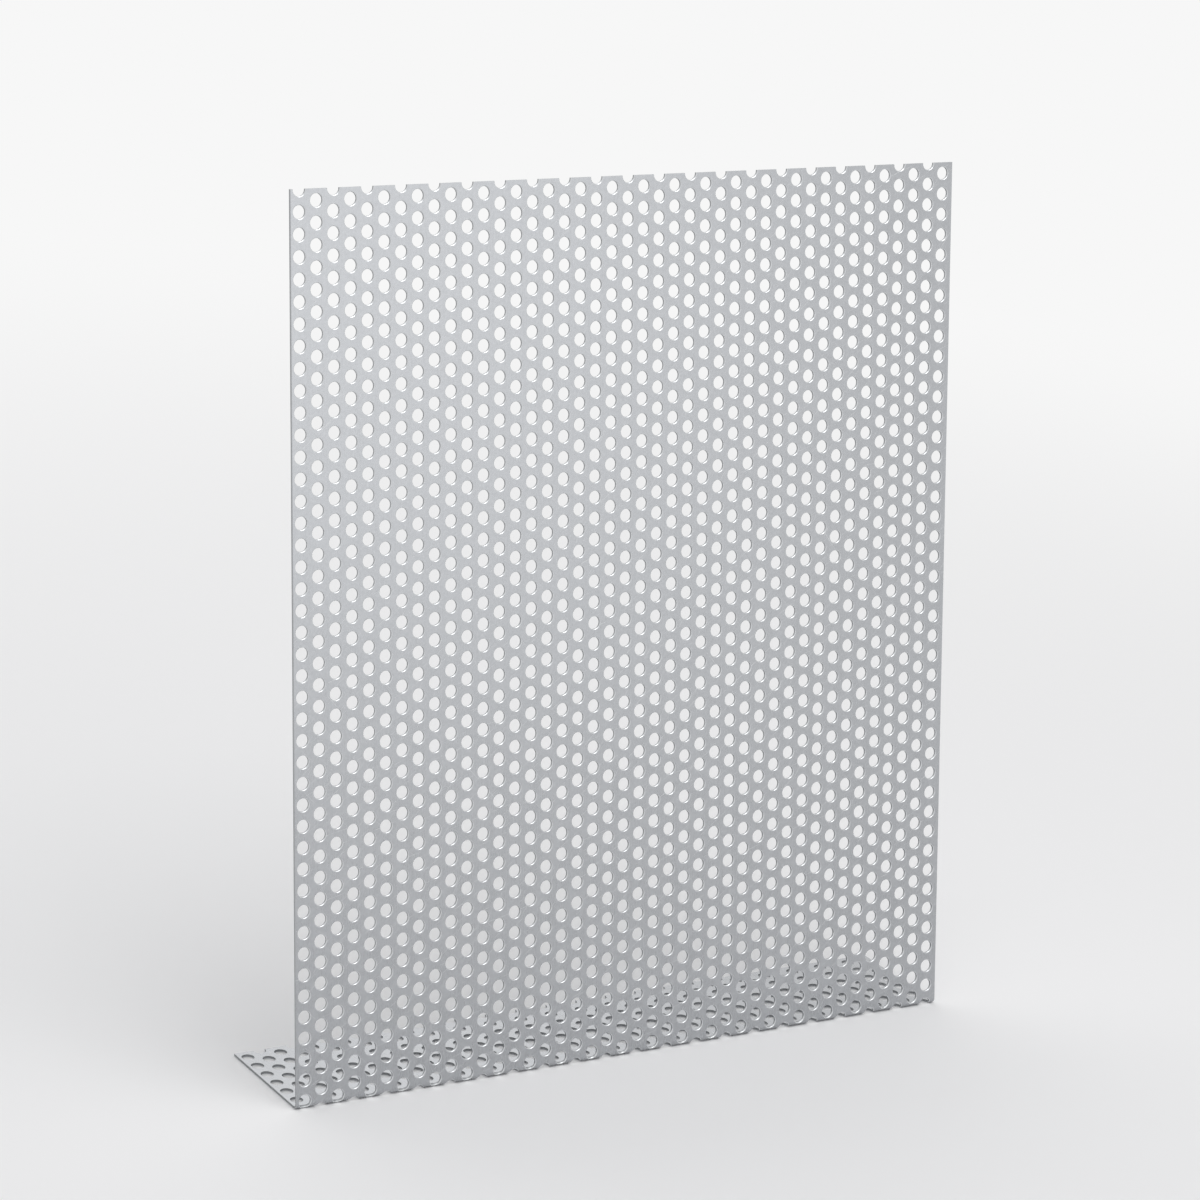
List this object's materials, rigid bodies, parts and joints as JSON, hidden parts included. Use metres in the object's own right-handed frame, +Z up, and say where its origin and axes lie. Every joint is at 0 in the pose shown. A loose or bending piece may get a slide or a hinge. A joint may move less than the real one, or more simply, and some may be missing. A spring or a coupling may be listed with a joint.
{
  "type": "perforated metal sheet",
  "caption": "Thin metal sheet with staggered round perforations, folded once so that the panel leans back over a short foot.",
  "frame": {"origin": "centre of the foot's underside, on the floor", "axes": "+X along the fold, to the right as seen from the front; +Y towards the back, the way the foot runs; +Z up from the floor"},
  "size_m": [0.294, 0.0539, 0.3366],
  "materials": {
    "mill_aluminium": "mill finish, satin, fine grain and light scratches"
  },
  "bodies": {
    "root": {"perforated_sheet": "mill_aluminium"}
  },
  "joints": []
}
